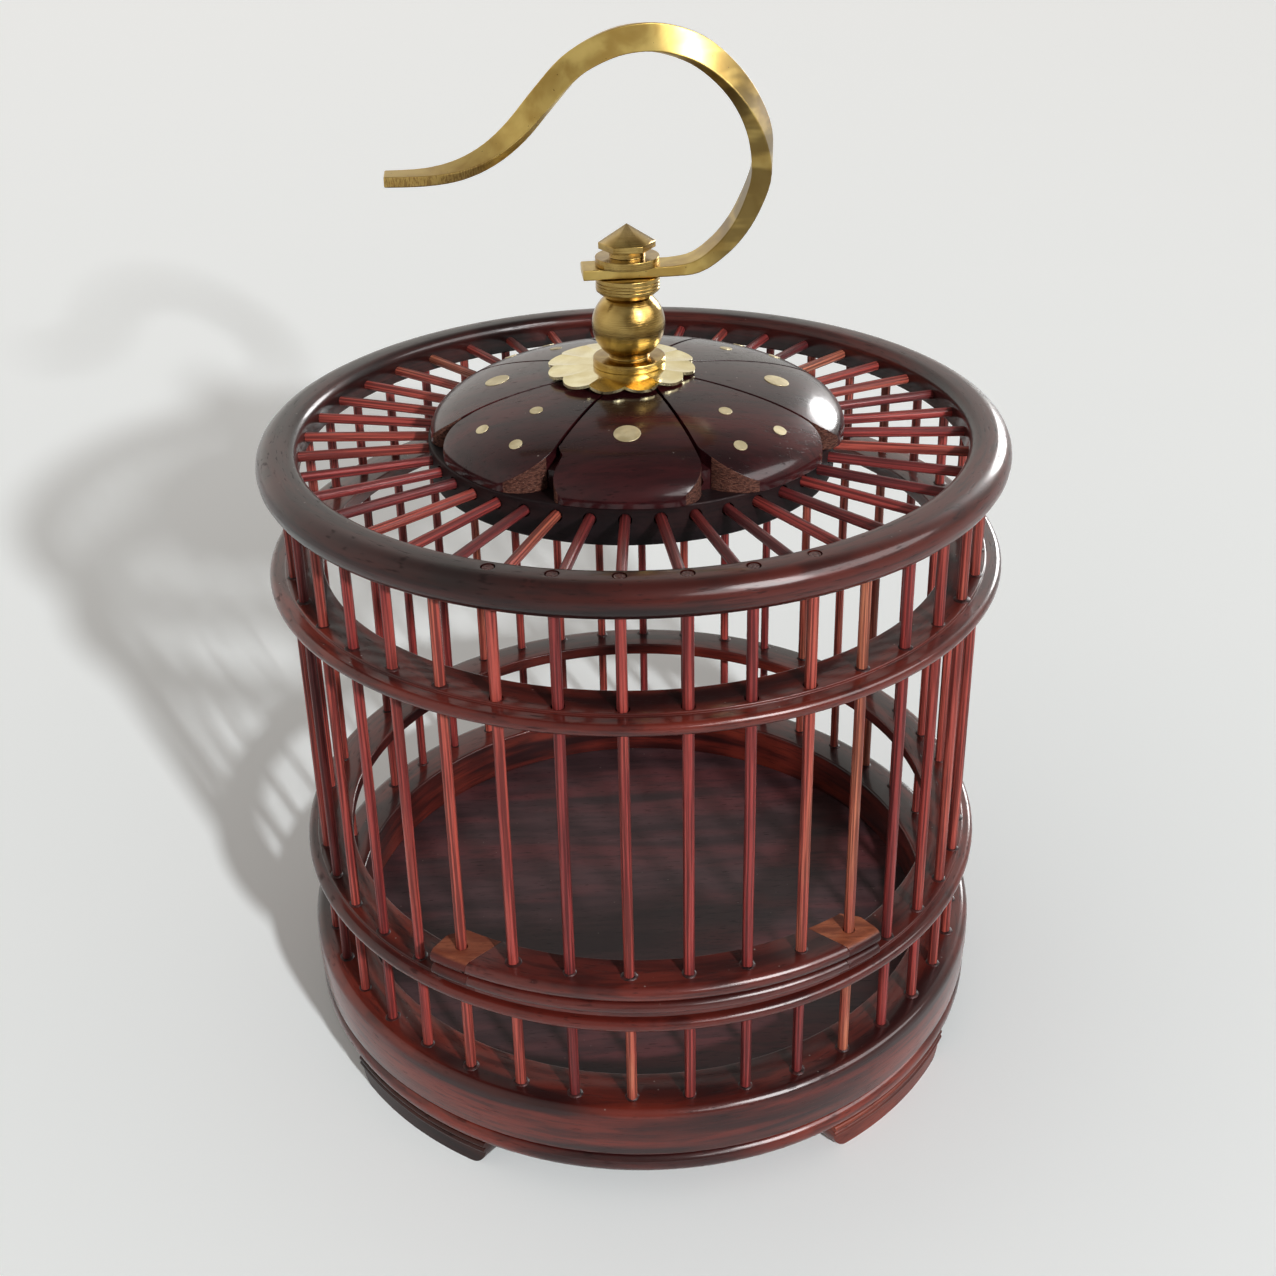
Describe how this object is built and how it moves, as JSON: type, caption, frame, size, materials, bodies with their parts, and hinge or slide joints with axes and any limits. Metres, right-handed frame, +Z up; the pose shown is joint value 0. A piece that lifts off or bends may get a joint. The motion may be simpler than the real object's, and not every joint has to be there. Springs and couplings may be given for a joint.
{
  "type": "cricket cage",
  "caption": "Round hanging insect cage of wooden bars between turned rings, with a lift door, a petalled dome with brass inlay, and a brass hook that turns on a finial.",
  "frame": {"origin": "under the feet, on the cage's axis", "axes": "+Z up along the cage's axis, -Y towards the door, +X to the right of someone facing the door"},
  "size_m": [0.11, 0.11, 0.1549],
  "materials": {
    "ring_wood": "satin",
    "bar_wood": "satin",
    "floor_wood": "satin",
    "hub_wood": "satin",
    "dome_wood": "polished",
    "pale_wood": "satin",
    "brass": "polished",
    "inlay_brass": "satin",
    "rosette_brass": "polished"
  },
  "bodies": {
    "frame": {"base_ring": "ring_wood", "floor_panel": "floor_wood", "foot_front_left": "ring_wood", "foot_front_right": "ring_wood", "foot_back_left": "ring_wood", "foot_back_right": "ring_wood", "lower_hoop": "ring_wood", "upper_hoop": "ring_wood", "top_rim": "ring_wood", "wall_bars": "bar_wood", "guide_bar_left": "bar_wood", "guide_bar_right": "bar_wood", "sill_bars": "bar_wood", "roof_bars": "bar_wood", "roof_hub": "hub_wood", "petal_dome": "dome_wood", "large_inlays": "inlay_brass", "small_inlays": "inlay_brass", "rosette": "rosette_brass", "finial_stem": "brass", "finial_cap": "brass", "tie_washer": "brass", "tie_nut": "brass"},
    "door": {"door_rail": "ring_wood", "door_end_left": "pale_wood", "door_end_right": "pale_wood", "door_bars": "bar_wood"},
    "hook": {"hook": "brass"}
  },
  "joints": [
    {"name": "door_lift", "type": "slide", "parent": "frame", "child": "door", "axis": [0, 0, 1], "range_m": [0, 0.0396]},
    {"name": "hook_swivel", "type": "hinge", "parent": "frame", "child": "hook", "pos_m": [0, 0, 0.1212], "axis": [0, 0, 1], "continuous": true}
  ]
}
